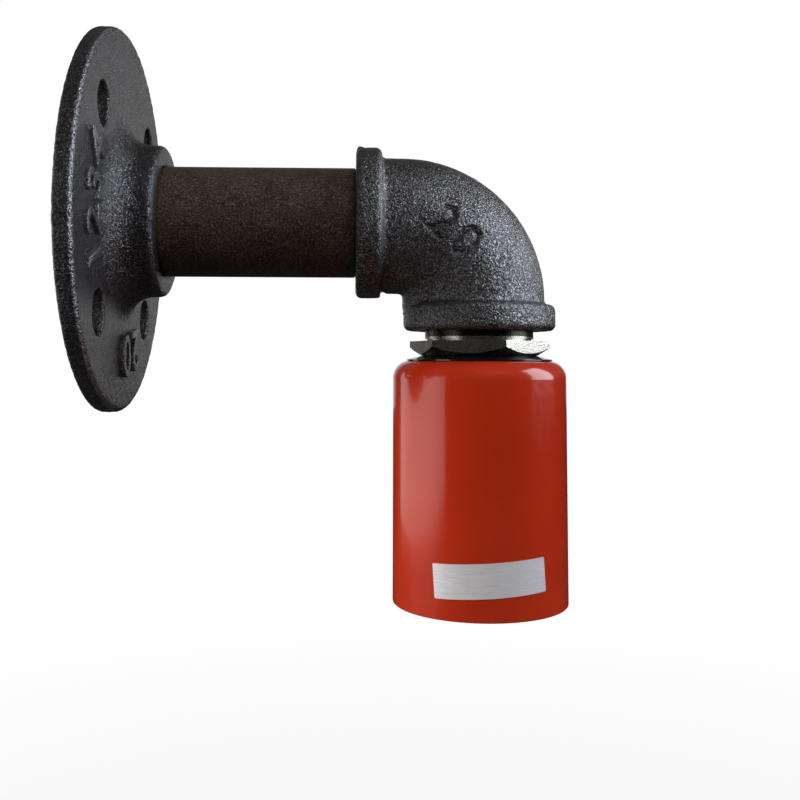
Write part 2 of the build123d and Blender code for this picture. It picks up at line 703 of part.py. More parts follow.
def lead(angle, leave_z, lower_points, lower_radii, bare_point):
    """Insulated lead from the flange's mouth through pipe, elbow and tube, with bare ends.

    The angle is its place round the tube's axis, and it runs straight down to leave_z. The
    lower points run on from there, and the bare end from the last of them to the bare point.
    """
    out = LEAD_FROM_AXIS * cos(radians(angle))
    side = LEAD_FROM_AXIS * sin(radians(angle))
    x = lamp_axis + out
    start = (LEAD_END + BARE_END, side, out)
    turn = (x, side, out)
    leave = (x, side, leave_z)
    lower = [(lamp_axis + a, b, c) for a, b, c in lower_points]
    jacket = tube_along([start, turn, leave] + lower, [ELBOW_BEND + out] + lower_radii, LEAD_DIA)
    core_start = Plane(origin=(LEAD_END, side, out), z_dir=(1, 0, 0))
    solid = jacket + extrude(core_start * Circle(CORE_DIA / 2), BARE_END)
    last = Vector(*lower[-1])
    tip = Vector(lamp_axis + bare_point[0], bare_point[1], bare_point[2])
    core_end = Plane(origin=last, z_dir=tip - last)
    return solid + extrude(core_end * Circle(CORE_DIA / 2), (tip - last).length)


def make_live_wire():
    """Lead to the live terminal."""
    points = [
        (-4.2, 4.6, tube_foot - 6.8),
        (-4.0, terminal_y, terminal_z),
        (TERMINAL_INNER - 1.0, terminal_y, terminal_z),
    ]
    bare = (TERMINAL_INNER + TERMINAL_WIDTH - 1, terminal_y, terminal_z)
    return lead(LIVE_TURN, tube_foot - LEAD_LEAVES, points, [4.0, 5.0, 3.0], bare)


def make_neutral_wire():
    """Lead to the neutral terminal."""
    points = [
        (3.4, -4.9, tube_foot - 6.8),
        (4.0, -terminal_y, terminal_z),
        (1.0 - TERMINAL_INNER, -terminal_y, terminal_z),
    ]
    bare = (1 - TERMINAL_INNER - TERMINAL_WIDTH, -terminal_y, terminal_z)
    return lead(NEUTRAL_TURN, tube_foot - LEAD_LEAVES, points, [4.0, 5.0, 3.0], bare)


def make_earth_wire():
    """Lead that loops round under the tube and up to the tag's ear."""
    core_x = TAG_EAR_REACH - CORE_DIA / 2
    loop = (core_x - LEAD_FROM_AXIS) / 2
    ear_foot = plate_foot - TAG_EAR_DROP
    low = ear_foot - EARTH_STRAIGHT - loop
    points = [(core_x, 0, low), (core_x, 0, ear_foot - EARTH_JACKET_BELOW_EAR)]
    bare = (core_x, 0, ear_screw_z + PAN_HEAD_DIA / 2)
    return lead(0, low, points, [loop * LOOP_SHARE, loop * LOOP_SHARE], bare)


# Places inside the socket that several pieces share
foot_screw = bracket_half_span - BRACKET_THICK - BRACKET_BEND - PAN_HEAD_DIA / 2 - HOLE_GAP
ear_screw_y = (SCREW_DIA + CORE_DIA) / 2 + THREAD_GAP
ear_shift = ear_screw_y / 2
ear_screw_z = plate_foot - TAG_EAR_DROP + PAN_HEAD_DIA / 2 + EARTH_SCREW_INSET
leaf_level = insert_floor - LEAF_PLAY - LEAF_THICK / 2
block_top = insert_top + TERMINAL_BLOCK_HEIGHT
terminal_x = TERMINAL_INNER + TERMINAL_WIDTH / 2
terminal_y = TERMINAL_FOOT_LONG / 2 + TERMINAL_BLOCK_LONG / 2
terminal_z = insert_top + TERMINAL_HOLE_UP

pieces = {
    "wall_flange": make_wall_flange,
    "pipe_nipple": make_pipe_nipple,
    "elbow": lambda: cut_elbow(make_elbow()),
    "hex_bush": make_hex_bush,
    "threaded_tube": make_threaded_tube,
    "spacer_cap": make_spacer_cap,
    "holder_cup": make_holder_cup,
    "rating_label": make_rating_label,
    "earth_tag": make_earth_tag,
    "earth_screw": make_earth_screw,
    "lock_washer": make_lock_washer,
    "lock_nut": make_lock_nut,
    "socket_bracket": make_socket_bracket,
    "bracket_screws": make_bracket_screws,
    "socket_body": make_socket_body,
    "screw_shell": make_screw_shell,
    "centre_contact": make_centre_contact,
    "live_rivet": make_live_rivet,
    "neutral_rivet": make_neutral_rivet,
    "live_terminal": lambda: terminal(1),
    "neutral_terminal": lambda: terminal(-1),
    "terminal_screws": make_terminal_screws,
    "live_wire": make_live_wire,
    "neutral_wire": make_neutral_wire,
    "earth_wire": make_earth_wire,
}

os.makedirs("parts", exist_ok=True)
for name, make in pieces.items():
    export_step(make(), f"parts/{name}.step")
print("lamp axis", lamp_axis, "mouth", mouth, "cup rim", cup_rim, "insert floor", insert_floor)
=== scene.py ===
import json
from math import cos, radians, sin

import bpy
from mathutils import Matrix, Vector


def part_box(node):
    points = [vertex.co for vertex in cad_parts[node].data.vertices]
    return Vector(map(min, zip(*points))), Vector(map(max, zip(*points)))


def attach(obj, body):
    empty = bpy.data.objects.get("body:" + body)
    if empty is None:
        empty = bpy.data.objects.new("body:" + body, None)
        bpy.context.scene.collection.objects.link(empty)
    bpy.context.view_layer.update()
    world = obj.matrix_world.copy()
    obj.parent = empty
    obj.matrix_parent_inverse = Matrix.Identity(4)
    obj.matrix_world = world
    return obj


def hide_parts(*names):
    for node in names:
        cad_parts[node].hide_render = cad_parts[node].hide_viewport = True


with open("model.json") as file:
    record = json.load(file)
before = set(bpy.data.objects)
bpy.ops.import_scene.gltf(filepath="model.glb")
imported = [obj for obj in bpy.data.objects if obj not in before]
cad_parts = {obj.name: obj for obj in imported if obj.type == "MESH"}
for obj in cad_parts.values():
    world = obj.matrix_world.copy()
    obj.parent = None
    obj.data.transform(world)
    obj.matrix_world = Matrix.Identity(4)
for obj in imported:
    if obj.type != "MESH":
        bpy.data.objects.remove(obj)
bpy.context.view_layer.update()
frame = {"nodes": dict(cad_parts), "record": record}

# Industrial pipe wall light: the looks. Lengths are in metres, in the frame of the solids.
MM = 0.001
MERGE_WITHIN = 0.001 * MM
PHOTO_SIDE = 800  # pixels

nodes = frame["nodes"]
elbow_low, elbow_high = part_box("elbow")
cup_low, cup_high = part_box("holder_cup")
flange_low, flange_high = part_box("wall_flange")
shell_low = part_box("screw_shell")[0]

LAMP_X = (cup_low.x + cup_high.x) / 2  # the lamp's axis
FLANGE_FACE_X = flange_low.x + 4.2 * MM
BUSH_FACE_Z = -28.9 * MM  # upper face of the bush's hexagon
SHELL_RADIUS = 13.3 * MM  # bore of the screw shell
BARE_TO_X = 8.2 * MM  # the leads are bare from the wall to here
TERMINAL_Z = -53.65 * MM  # level of the terminals' holes
TERMINAL_REACH = 5.5 * MM  # the leads' bare ends lie further than this from the lamp's axis
THROAT = Vector((elbow_low.x + 11.6 * MM, 0, -15.9 * MM))  # inner corner of the elbow's bend
SKIN_RADIUS = 14.8 * MM  # the elbow's outer skin lies further than this from both its axes
FLOOR_CENTRE = (LAMP_X, 0, cup_low.z - 0.16)
FLOOR_BOUNCE = 0.05  # share of the light that the floor throws back at the light's underside
ROOM_LOW = 0.02  # brightness of the room below the horizon
ROOM_HIGH = 0.10  # and above it
NOISE_LOW, NOISE_HIGH = 0.3, 0.7  # a noise seldom leaves this range

# Each number with its place in degrees round the pipe's axis.
FLANGE_NUMBERS = (("1", 201), ("2", 187), ("3", 173), ("4", 159), ("20", 279))


# Handling of pieces ------------------------------------------------------------------------


def let_go():
    """Deselect all, in object mode."""
    if bpy.context.object and bpy.context.object.mode != "OBJECT":
        bpy.ops.object.mode_set(mode="OBJECT")
    bpy.ops.object.select_all(action="DESELECT")


def take(piece):
    """Make one piece the selected and active one."""
    let_go()
    piece.select_set(True)
    bpy.context.view_layer.objects.active = piece
    return piece


def named(name):
    """The piece that was just added, under its own name."""
    piece = bpy.context.object
    piece.name = name
    piece.data.name = name
    return piece


def settle(piece):
    """Move a piece's place into its mesh."""
    take(piece)
    bpy.ops.object.transform_apply(location=True, rotation=True, scale=True)
    return piece


def finish_modifiers(piece):
    """Apply every modifier in turn."""
    take(piece)
    for modifier in list(piece.modifiers):
        bpy.ops.object.modifier_apply(modifier=modifier.name)
    return piece


def in_edit(piece, work):
    """Run one piece of work on the whole mesh in edit mode."""
    take(piece)
    bpy.ops.object.mode_set(mode="EDIT")
    bpy.ops.mesh.select_all(action="SELECT")
    work()
    bpy.ops.object.mode_set(mode="OBJECT")
    return piece


def merge():
    """Merge doubled points."""
    bpy.ops.mesh.remove_doubles(threshold=MERGE_WITHIN)


def merge_and_face_out():
    """Merge doubled points and turn the faces outwards."""
    merge()
    bpy.ops.mesh.normals_make_consistent(inside=False)


def smooth_shaded(piece):
    """Shade a piece smoothly all over."""
    take(piece)
    bpy.ops.object.shade_smooth()
    return piece


def copy_of_node(node, name):
    """A copy of a solid, with its loose triangles merged."""
    piece = bpy.data.objects.new(name, nodes[node].data.copy())
    bpy.context.scene.collection.objects.link(piece)
    piece.data.materials.clear()
    return in_edit(piece, merge)


def joined(first, *others):
    """Join pieces into the first one."""
    take(first)
    for other in others:
        other.select_set(True)
    bpy.ops.object.join()
    return first


def axes(x_axis, y_axis, z_axis, place):
    """A placing matrix from three axes and a point."""
    turned = Matrix([x_axis, y_axis, z_axis]).transposed()
    return Matrix.Translation(place) @ turned.to_4x4()


def coat(piece, material):
    """Give a whole piece one finish."""
    piece.data.materials.clear()
    piece.data.materials.append(material)
    for face in piece.data.polygons:
        face.material_index = 0


def wear(piece, material, slot_name, body, *stands_for):
    """Give a new piece its finish and body; its slot name is not used."""
    coat(piece, material)
    if stands_for:
        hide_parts(*stands_for)
    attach(piece, body)
    return piece


# Finishes ----------------------------------------------------------------------------------


class Nodes:
    """A node tree whose nodes are added one at a time."""

    def __init__(self, tree):
        self.tree = tree

    def set(self, node, socket, value):
        """Set a socket, or link it where the value is another node's output."""
        target = node.inputs[socket]
        if isinstance(value, bpy.types.NodeSocket):
            self.tree.links.new(value, target)
        else:
            target.default_value = value

    def add(self, kind, properties=None, **sockets):
        """Add a node with its properties and sockets."""
        node = self.tree.nodes.new(kind)
        for key, value in (properties or {}).items():
            setattr(node, key, value)
        for socket, value in sockets.items():
            self.set(node, socket.replace("_", " "), value)
        return node

    def fill(self, node, *values, first=0):
        """Set or link a node's sockets in turn."""
        for index, value in enumerate(values, first):
            self.set(node, index, value)
        return node

    def between(self, value, low, high, to_low, to_high):
        """Map a value from one range to another, held at its ends."""
        node = self.add("ShaderNodeMapRange", {"clamp": True}, Value=value)
        return self.fill(node, low, high, to_low, to_high, first=1).outputs["Result"]

    def maths(self, operation, first, second=0.0):
        node = self.add("ShaderNodeMath", {"operation": operation})
        return self.fill(node, first, second).outputs["Value"]

    def distance(self, value, middle):
        """How far a value is from the middle."""
        return self.maths("ABSOLUTE", self.maths("SUBTRACT", value, middle))

    def blend(self, factor, first, second):
        """Blend two colours."""
        node = self.add("ShaderNodeMix", {"data_type": "RGBA"})
        self.set(node, 0, factor)
        return self.fill(node, first, second, first=6).outputs[2]

    def shift(self, value, low, high, first, second):
        """Blend from one colour to another as a value goes from low to high."""
        return self.blend(self.between(value, low, high, 0.0, 1.0), first, second)

    def mix_shaders(self, factor, first, second, output):
        """Send a mix of two shaders to the output."""
        mix = self.fill(self.add("ShaderNodeMixShader"), factor, first.outputs[0],
                        second.outputs[0])
        self.set(output, "Surface", mix.outputs[0])


class Finish(Nodes):
    """A material on Object coordinates."""

    def __init__(self, name, **sockets):
        self.material = bpy.data.materials.new(name)
        self.material.use_nodes = True
        super().__init__(self.material.node_tree)
        self.shader = self.tree.nodes["Principled BSDF"]
        self.place = self.add("ShaderNodeTexCoord").outputs["Object"]
        for socket, value in sockets.items():
            self.set(self.shader, socket.replace("_", " "), value)

    def along(self, axis):
        """The place along one axis."""
        return self.add("ShaderNodeSeparateXYZ", Vector=self.place).outputs[axis]

    def stretched(self, x, y, z):
        """The place, with patterns drawn out where a scale is under 1."""
        node = self.add("ShaderNodeMapping", Vector=self.place, Scale=(x, y, z))
        return node.outputs["Vector"]

    def noise(self, size, detail=2.0, rough=0.5, place=None):
        """Noise whose grains are about one size across."""
        node = self.add("ShaderNodeTexNoise", Vector=place or self.place, Scale=1 / size,
                        Detail=detail, Roughness=rough)
        return node.outputs["Fac"]

    def cells(self, size):
        """Distance to the nearest of points scattered about one size apart."""
        node = self.add("ShaderNodeTexVoronoi", Vector=self.place, Scale=1 / size)
        return node.outputs["Distance"]

    def bump(self, height, depth, strength=1.0, under=None):
        """Relief from a height, on top of another where one is given."""
        node = self.add("ShaderNodeBump", Height=height, Distance=depth, Strength=strength)
        if under:
            self.set(node, "Normal", under)
        return node.outputs["Normal"]

    def mottle(self, noise, first, second):
        """Blend two colours over a noise's range."""
        return self.shift(noise, NOISE_LOW, NOISE_HIGH, first, second)

    def vary(self, noise, low, high):
        """Go from low to high over a noise's range."""
        return self.between(noise, NOISE_LOW, NOISE_HIGH, low, high)

    def complete(self, colour, roughness, relief):
        """Set colour, roughness and relief."""
        self.set(self.shader, "Base Color", colour)
        self.set(self.shader, "Roughness", roughness)
        self.set(self.shader, "Normal", relief)
        return self.material


def shade(red, green, blue):
    """A colour from the 0 to 255 values of a screen."""
    def linear(value):
        value /= 255
        return value / 12.92 if value <= 0.04045 else ((value + 0.055) / 1.055) ** 2.4
    return (linear(red), linear(green), linear(blue), 1.0)


def ridge_wear_and_highlight(finish, grains, radius, x):
    """Where a ridge at this radius and height round the pipe's axis is painted bright, partly as
    wear and partly as a painted highlight, broken up by the grain.
    """
    flat = finish.add("ShaderNodeVectorMath", {"operation": "MULTIPLY"}, Vector=finish.place)
    finish.set(flat, 1, (0, 1, 1))
    reach = finish.add("ShaderNodeVectorMath", {"operation": "LENGTH"}, Vector=flat.outputs[0])
    out = finish.between(reach.outputs["Value"], radius - 0.9 * MM, radius - 0.3 * MM, 0.0, 1.0)
    high = finish.between(finish.along("X"), x - 0.9 * MM, x - 0.4 * MM, 0.0, 1.0)
    # Only the grain's higher spots along the ridge take the wear and painted highlight.
    wear_and_highlight_spots = finish.between(grains, 0.40, 0.52, 0.0, 1.0)
    return finish.maths("MULTIPLY", finish.maths("MULTIPLY", out, high), wear_and_highlight_spots)


def black_casting(name, painted_lightness, ridge_radius=None, ridge_x=None):
    """Black sandy casting: coarse grains whose tips catch the light and are painted lighter,
    partly their own colour and partly a painted glint; the grain's hollows painted darker,
    partly their own colour and partly painted shade; concave corners painted darker as painted
    shade; and edges painted lighter, partly as wear and partly as a painted highlight.

    A flange gives the radius and height of its rim's ridge, which is painted almost bright,
    partly as wear and partly as a painted highlight.
    """
    finish = Finish(name, Metallic=0.95)
    grains = finish.noise(0.42 * MM, 3.0, 0.55)
    sand = finish.noise(0.9 * MM)
    patches = finish.noise(11 * MM, 3.0)
    edge = finish.add("ShaderNodeNewGeometry").outputs["Pointiness"]
    # Convex edges are painted lighter: partly wear, partly a painted highlight.
    edge_wear_and_highlight = finish.between(edge, 0.53, 0.60, 0.0, 0.6)
    # Painted shade: concave corners are painted darker.
    crease_shade = finish.between(edge, 0.42, 0.485, 0.6, 0.0)
    # The grain's hollows are painted darker: partly their own colour, partly painted shade.
    hollows_and_shade = finish.between(grains, 0.34, 0.46, 0.75, 0.0)
    # These shades are scaled by a lightness factor: the elbow's copy is painted lighter and the
    # flange's darker, a painted difference of light and shade on one black casting.
    skin = finish.shift(patches, 0.35, 0.65, shade(82 * painted_lightness, 79 * painted_lightness, 77 * painted_lightness),
                        shade(99 * painted_lightness, 98 * painted_lightness, 102 * painted_lightness))
    skin = finish.blend(finish.maths("MAXIMUM", hollows_and_shade, crease_shade), skin, shade(48, 47, 48))
    # The grain's tips are painted lighter: partly their own colour, partly a painted glint.
    skin = finish.shift(grains, 0.50, 0.66, skin, shade(160 * painted_lightness, 160 * painted_lightness, 166 * painted_lightness))
    if ridge_radius:
        # The flange's rim ridge is painted bright: partly wear, partly a painted highlight.
        edge_wear_and_highlight = finish.maths("MAXIMUM", edge_wear_and_highlight,
                              ridge_wear_and_highlight(finish, grains, ridge_radius, ridge_x))
    # Edges and ridge take a near-white colour: wear and painted highlight.
    skin = finish.blend(edge_wear_and_highlight, skin, shade(178, 178, 184))
    relief = finish.bump(grains, 0.36 * MM, under=finish.bump(sand, 0.30 * MM, 0.7))
    return finish.complete(skin, finish.between(grains, 0.35, 0.7, 0.38, 0.24), relief)


def dark_tube():
    """Dark brown-black tube, smoother than the castings, with a fine sandy skin."""
    finish = Finish("dark_tube", Metallic=0.5)
    drawn = finish.noise(0.5 * MM, 3.0, 0.6, place=finish.stretched(0.15, 1, 1))
    sand = finish.noise(0.42 * MM, 3.0, 0.6)
    patches = finish.noise(7 * MM, 4.0)
    skin = finish.shift(patches, 0.35, 0.65, shade(58, 47, 40), shade(76, 66, 60))
    skin = finish.blend(finish.between(sand, 0.36, 0.47, 0.8, 0.0), skin, shade(28, 23, 20))
    skin = finish.blend(finish.between(sand, 0.52, 0.66, 0.0, 0.8), skin, shade(132, 118, 108))
    relief = finish.bump(finish.maths("ADD", drawn, sand), 0.26 * MM, 0.9)
    return finish.complete(skin, finish.vary(sand, 0.34, 0.50), relief)


def zinc_plate(name, painted_shade_from=None):
    """Turned and zinc plated steel, with a dull sandy bloom and a few dark specks.

    Above the given height its thread is painted dark, a painted shade where it lies in the
    fitting's shadow.
    """
    finish = Finish(name, Metallic=1.0)
    bloom = finish.noise(0.40 * MM, 3.0, 0.65)
    patches = finish.noise(5 * MM, 3.0)
    turned = finish.noise(0.35 * MM, place=finish.stretched(0.15, 0.15, 1))
    spots = finish.cells(1.6 * MM)
    dull = finish.shift(patches, 0.35, 0.7, shade(150, 142, 128), shade(186, 184, 182))
    plate = finish.shift(bloom, 0.45, 0.60, shade(170, 168, 162), dull)
    plate = finish.blend(finish.between(spots, 0.10, 0.17, 0.85, 0.0), plate, shade(70, 62, 54))
    # Painted shade: the thread above this height, which lies in the fitting's shadow, is painted
    # dark.
    if painted_shade_from is not None:
        ragged = finish.maths("ADD", finish.along("Z"),
                              finish.vary(bloom, -0.12 * MM, 0.12 * MM))
        plate = finish.shift(ragged, painted_shade_from, painted_shade_from + 0.2 * MM, plate, shade(52, 48, 44))
    relief = finish.bump(finish.maths("ADD", bloom, turned), 0.04 * MM, 0.6)
    return finish.complete(plate, finish.between(bloom, 0.35, 0.65, 0.20, 0.34), relief)


def bright_steel():
    """Plain bright steel with faint rolling marks."""
    finish = Finish("bright_steel", Metallic=1.0)
    marks = finish.noise(0.4 * MM, 3.0, 0.6, place=finish.stretched(1, 0.1, 1))
    stains = finish.noise(4 * MM, 3.0)
    steel = finish.shift(stains, 0.4, 0.7, shade(198, 198, 198), shade(168, 166, 162))
    return finish.complete(steel, finish.vary(marks, 0.26, 0.44),
                           finish.bump(marks, 0.02 * MM, 0.5))


def gloss_black():
    """Glossy black enamel with a few dust specks."""
    finish = Finish("gloss_black", Coat_Weight=0.6, Coat_Roughness=0.06)
    dust = finish.cells(2.6 * MM)
    wave = finish.noise(3.0 * MM)
    enamel = finish.blend(finish.between(dust, 0.03, 0.06, 1.0, 0.0), shade(14, 14, 17),
                          shade(150, 150, 150))
    return finish.complete(enamel, finish.vary(wave, 0.10, 0.2),
                           finish.bump(wave, 0.03 * MM, 0.25))


def orange_enamel():
    """Glossy orange-red enamel with a slight orange peel and fine dust."""
    finish = Finish("orange_enamel", Coat_Weight=0.25, Coat_Roughness=0.05)
    peel = finish.noise(1.6 * MM, 2.0, 0.45)
    waves = finish.noise(9 * MM, place=finish.stretched(1, 1, 0.35))
    clouds = finish.noise(22 * MM)
    dust = finish.cells(4.2 * MM)
    enamel = finish.mottle(clouds, shade(158, 38, 15), shade(166, 43, 18))
    enamel = finish.blend(finish.between(dust, 0.02, 0.05, 0.5, 0.0), enamel, shade(110, 30, 16))
    relief = finish.bump(peel, 0.012 * MM, 0.35, under=finish.bump(waves, 0.08 * MM, 0.25))
    return finish.complete(enamel, finish.vary(peel, 0.13, 0.2), relief)


def brushed_foil():
    """Silver foil, brushed across its width."""
    finish = Finish("brushed_foil", Metallic=0.25)
    strokes = finish.noise(0.12 * MM, 3.0, 0.6, place=finish.stretched(0.03, 0.03, 1))
    cloud = finish.noise(6 * MM, 3.0)
    foil = finish.shift(strokes, 0.35, 0.65, shade(194, 195, 202), shade(214, 215, 222))
    return finish.complete(foil, finish.vary(cloud, 0.26, 0.36),
                           finish.bump(strokes, 0.006 * MM, 0.5))


def glazed_ceramic():
    """White glazed ceramic, faintly mottled, with a few iron specks."""
    finish = Finish("glazed_ceramic", Coat_Weight=0.4, Coat_Roughness=0.08)
    cloud = finish.noise(4 * MM, 4.0)
    specks = finish.cells(3.4 * MM)
    glaze = finish.mottle(cloud, shade(226, 222, 210), shade(238, 235, 226))
    glaze = finish.blend(finish.between(specks, 0.03, 0.06, 0.8, 0.0), glaze,
                         shade(150, 128, 100))
    return finish.complete(glaze, finish.vary(cloud, 0.22, 0.34),
                           finish.bump(cloud, 0.06 * MM, 0.3))


def bright_brass():
    """Stamped brass, a little tarnished."""
    finish = Finish("bright_brass", Metallic=1.0)
    tarnish = finish.noise(3.2 * MM, 4.0)
    marks = finish.noise(0.4 * MM)
    brass = finish.shift(tarnish, 0.38, 0.68, shade(222, 186, 108), shade(176, 138, 74))
    return finish.complete(brass, finish.vary(tarnish, 0.22, 0.4),
                           finish.bump(marks, 0.015 * MM, 0.5))


def sheathed_copper(name, dark, light):
    """Lead with a coloured sheath and bare copper ends at the wall and at the terminals."""
    finish = Finish(name)
    grain = finish.noise(1.2 * MM, 3.0)
    at_wall = finish.maths("LESS_THAN", finish.along("X"), BARE_TO_X)
    beside = finish.maths("GREATER_THAN", finish.distance(finish.along("X"), LAMP_X),
                          TERMINAL_REACH)
    level = finish.maths("LESS_THAN", finish.distance(finish.along("Z"), TERMINAL_Z), 1.0 * MM)
    bare = finish.maths("MAXIMUM", at_wall, finish.maths("MULTIPLY", beside, level))
    sheath = finish.mottle(grain, dark, light)
    copper = finish.mottle(grain, shade(196, 116, 74), shade(214, 138, 96))
    finish.set(finish.shader, "Metallic", bare)
    return finish.complete(finish.blend(bare, sheath, copper), finish.vary(grain, 0.36, 0.5),
                           finish.bump(grain, 0.03 * MM, 0.3))


# Cast pieces -------------------------------------------------------------------------------


def numerals(name, words, height, depth, stroke, edge, place):
    """Plain numerals as a solid with rounded edges, its middle on the place, facing its Z."""
    digit_share = 0.7  # a digit's height as a share of the letters' size
    let_go()
    bpy.ops.object.text_add(location=(0, 0, 0))
    piece = named(name)
    text = piece.data
    text.body = words
    text.size = height / digit_share
    text.align_x = "CENTER"
    text.align_y = "CENTER"
    text.space_character = 1.2
    text.extrude = depth / 2 - edge
    text.offset = stroke - edge
    text.bevel_depth = edge
    text.bevel_resolution = 2
    text.resolution_u = 6
    take(piece)
    bpy.ops.object.convert(target="MESH")
    piece = bpy.context.object
    piece.matrix_world = place
    return in_edit(settle(piece), merge_and_face_out)


def cut_by(piece, tool):
    """Cut one piece by another, which is then thrown away."""
    boolean = piece.modifiers.new("cut", "BOOLEAN")
    boolean.operation = "DIFFERENCE"
    boolean.object = tool
    boolean.solver = "EXACT"
    finish_modifiers(piece)
    bpy.data.objects.remove(tool)
    return piece


def as_cast(piece, voxel, sand):
    """Melt sharp edges and creases together, and give the skin its sandy unevenness."""
    remesh = piece.modifiers.new("melt", "REMESH")
    remesh.mode = "VOXEL"
    remesh.voxel_size = voxel
    smooth = piece.modifiers.new("soften", "SMOOTH")
    smooth.factor = 0.5
    smooth.iterations = 1
    lumps = bpy.data.textures.new(piece.name + "_sand", "CLOUDS")
    lumps.noise_scale = 1.5 * MM
    lumps.noise_depth = 2
    displace = piece.modifiers.new("sand", "DISPLACE")
    displace.texture = lumps
    displace.texture_coords = "LOCAL"
    displace.strength = sand
    displace.mid_level = 0.5
    return smooth_shaded(finish_modifiers(piece))


def round_corner(piece, place, reach, passes):
    """Smooth the mesh within a reach of one place, which fills an inner corner."""
    group = piece.vertex_groups.new(name="corner")
    near = [point.index for point in piece.data.vertices if (point.co - place).length < reach]
    group.add(near, 1.0, "REPLACE")
    smooth = piece.modifiers.new("fill_corner", "SMOOTH")
    smooth.vertex_group = group.name
    smooth.factor = 0.5
    smooth.iterations = passes
    finish_modifiers(piece)
    piece.vertex_groups.clear()
    return piece


def swell_throat(piece, reach, left, down):
    """Thicken the elbow's outer skin round its throat, less and less towards the reach."""
    sideways = 0.35  # a point's distance sideways counts for this share
    group = piece.vertex_groups.new(name="throat")
    for point in piece.data.vertices:
        x, y, z = point.co
        if min(Vector((y, z)).length, Vector((x - LAMP_X, y)).length) > SKIN_RADIUS:
            away = Vector((x - THROAT.x, sideways * y, z - THROAT.z)).length
            if away < reach:
                group.add([point.index], min(1.0, 2.0 * (1 - away / reach)), "REPLACE")
    for direction, strength in (("X", -left), ("Z", -down)):
        move = piece.modifiers.new("thicken", "DISPLACE")
        move.direction = direction
        move.strength = strength
        move.mid_level = 0
        move.vertex_group = group.name
    finish_modifiers(piece)
    piece.vertex_groups.clear()
    return piece


def make_flange(material):
    """Cast flange with a sandy skin."""
    piece = as_cast(copy_of_node("wall_flange", "cast_flange"), 0.46 * MM, 0.22 * MM)
    return wear(piece, material, "cast_black", "wall_side", "wall_flange")


def make_flange_numbers(material):
    """Plain raised numbers round the flange's face, their tops towards its rim."""
    radius, height, depth = 32 * MM, 10 * MM, 2.0 * MM
    stroke, edge = 0.25 * MM, 0.3 * MM
    outwards = Vector((1, 0, 0))
    numbers = []
    for words, degrees in FLANGE_NUMBERS:
        angle = radians(degrees)
        up = Vector((0, cos(angle), sin(angle)))
        spot = up * radius + outwards * FLANGE_FACE_X
        numbers.append(numerals("flange_numbers", words, height, depth, stroke, edge,
                                axes(up.cross(outwards), up, outwards, spot)))
    piece = take(joined(*numbers))
    bpy.ops.object.shade_smooth_by_angle(angle=radians(40))
    return wear(piece, material, "cast_black", "wall_side")


def sunk_number(node, words, height, sunk, stroke, place):
    """The solid that sinks a number into a node's skin by one depth."""
    core = copy_of_node(node, "number_floor")
    shrink = core.modifiers.new("shrink", "DISPLACE")
    shrink.strength = -sunk
    shrink.mid_level = 0
    finish_modifiers(core)
    depth = 2.6 * MM  # reaches from outside the skin to below the number's floor
    return cut_by(numerals("sunk_number", words, height, depth, stroke, 0.0, place), core)


def make_elbow(material):
    """Cast elbow with a plain number sunk in its near side and a filled inner corner."""
    slope = radians(42)
    across = Vector((cos(slope), 0, -sin(slope)))
    nearer = Vector((0, -1, 0))
    number_place = axes(across, nearer.cross(across), nearer, Vector((83.0, -15.8, -4.0)) * MM)
    number = sunk_number("elbow", "20", 8.0 * MM, 0.7 * MM, 0.12 * MM, number_place)
    piece = cut_by(copy_of_node("elbow", "cast_elbow"), number)
    let_go()
    on_band = (elbow_low.x + 1.1 * MM, -1.5 * MM, elbow_high.z - 0.55 * MM)
    bpy.ops.mesh.primitive_uv_sphere_add(segments=24, ring_count=12, radius=1.0 * MM,
                                         location=on_band)
    piece = joined(piece, settle(named("band_lump")))
    as_cast(piece, 0.39 * MM, 0.16 * MM)
    swell_throat(piece, 6.8 * MM, 0.5 * MM, 1.5 * MM)
    for side in (-6 * MM, 0, 6 * MM):
        round_corner(piece, THROAT + Vector((0, side, 0)), 3.2 * MM, 18)
    return wear(piece, material, "cast_black", "lamp_side", "elbow")


def make_shell_thread(material):
    """Round helical thread inside the lamp socket's shell."""
    pitch, turns, steps = 3.62 * MM, 5, 64
    let_go()
    bpy.ops.mesh.primitive_circle_add(vertices=16, radius=1.0 * MM,
                                      location=(SHELL_RADIUS - 0.25 * MM, 0, 0),
                                      rotation=(radians(90), 0, 0))
    piece = named("shell_thread")
    piece.scale = (0.6, 1.05, 1.05)
    settle(piece)
    screw = piece.modifiers.new("helix", "SCREW")
    screw.axis = "Z"
    screw.angle = radians(360)
    screw.screw_offset = pitch
    screw.iterations = turns
    screw.steps = steps
    screw.render_steps = steps
    finish_modifiers(piece)
    piece.location = (LAMP_X, 0, shell_low.z + 1.1 * MM)
    settle(piece)

    def close_ends():
        bpy.ops.mesh.select_all(action="DESELECT")
        bpy.ops.mesh.select_non_manifold()
        bpy.ops.mesh.edge_face_add()
    in_edit(piece, close_ends)
    in_edit(piece, merge_and_face_out)
    return wear(smooth_shaded(piece), material, "brass", "lamp_side")


# Carried-over pieces -----------------------------------------------------------------------


def dress_nodes(finishes):
    """Give each carried-over solid its finish by its slot."""
    for part in frame["record"]["subparts"]:
        coat(nodes[part["node"]], finishes[part["material_slot"]])


# Studio ------------------------------------------------------------------------------------


def soft_light(name, place, target, size, watts, colour, in_gloss=True):
    """Rectangular softbox, which gloss may show or not."""
    let_go()
    bpy.ops.object.light_add(type="AREA", location=place)
    light = named(name)
    light.data.shape = "RECTANGLE"
    light.data.size, light.data.size_y = size
    light.data.energy = watts
    light.data.color = colour
    aim = Vector(target) - light.location
    light.rotation_euler = aim.to_track_quat("-Z", "Y").to_euler()
    light.visible_glossy = in_gloss


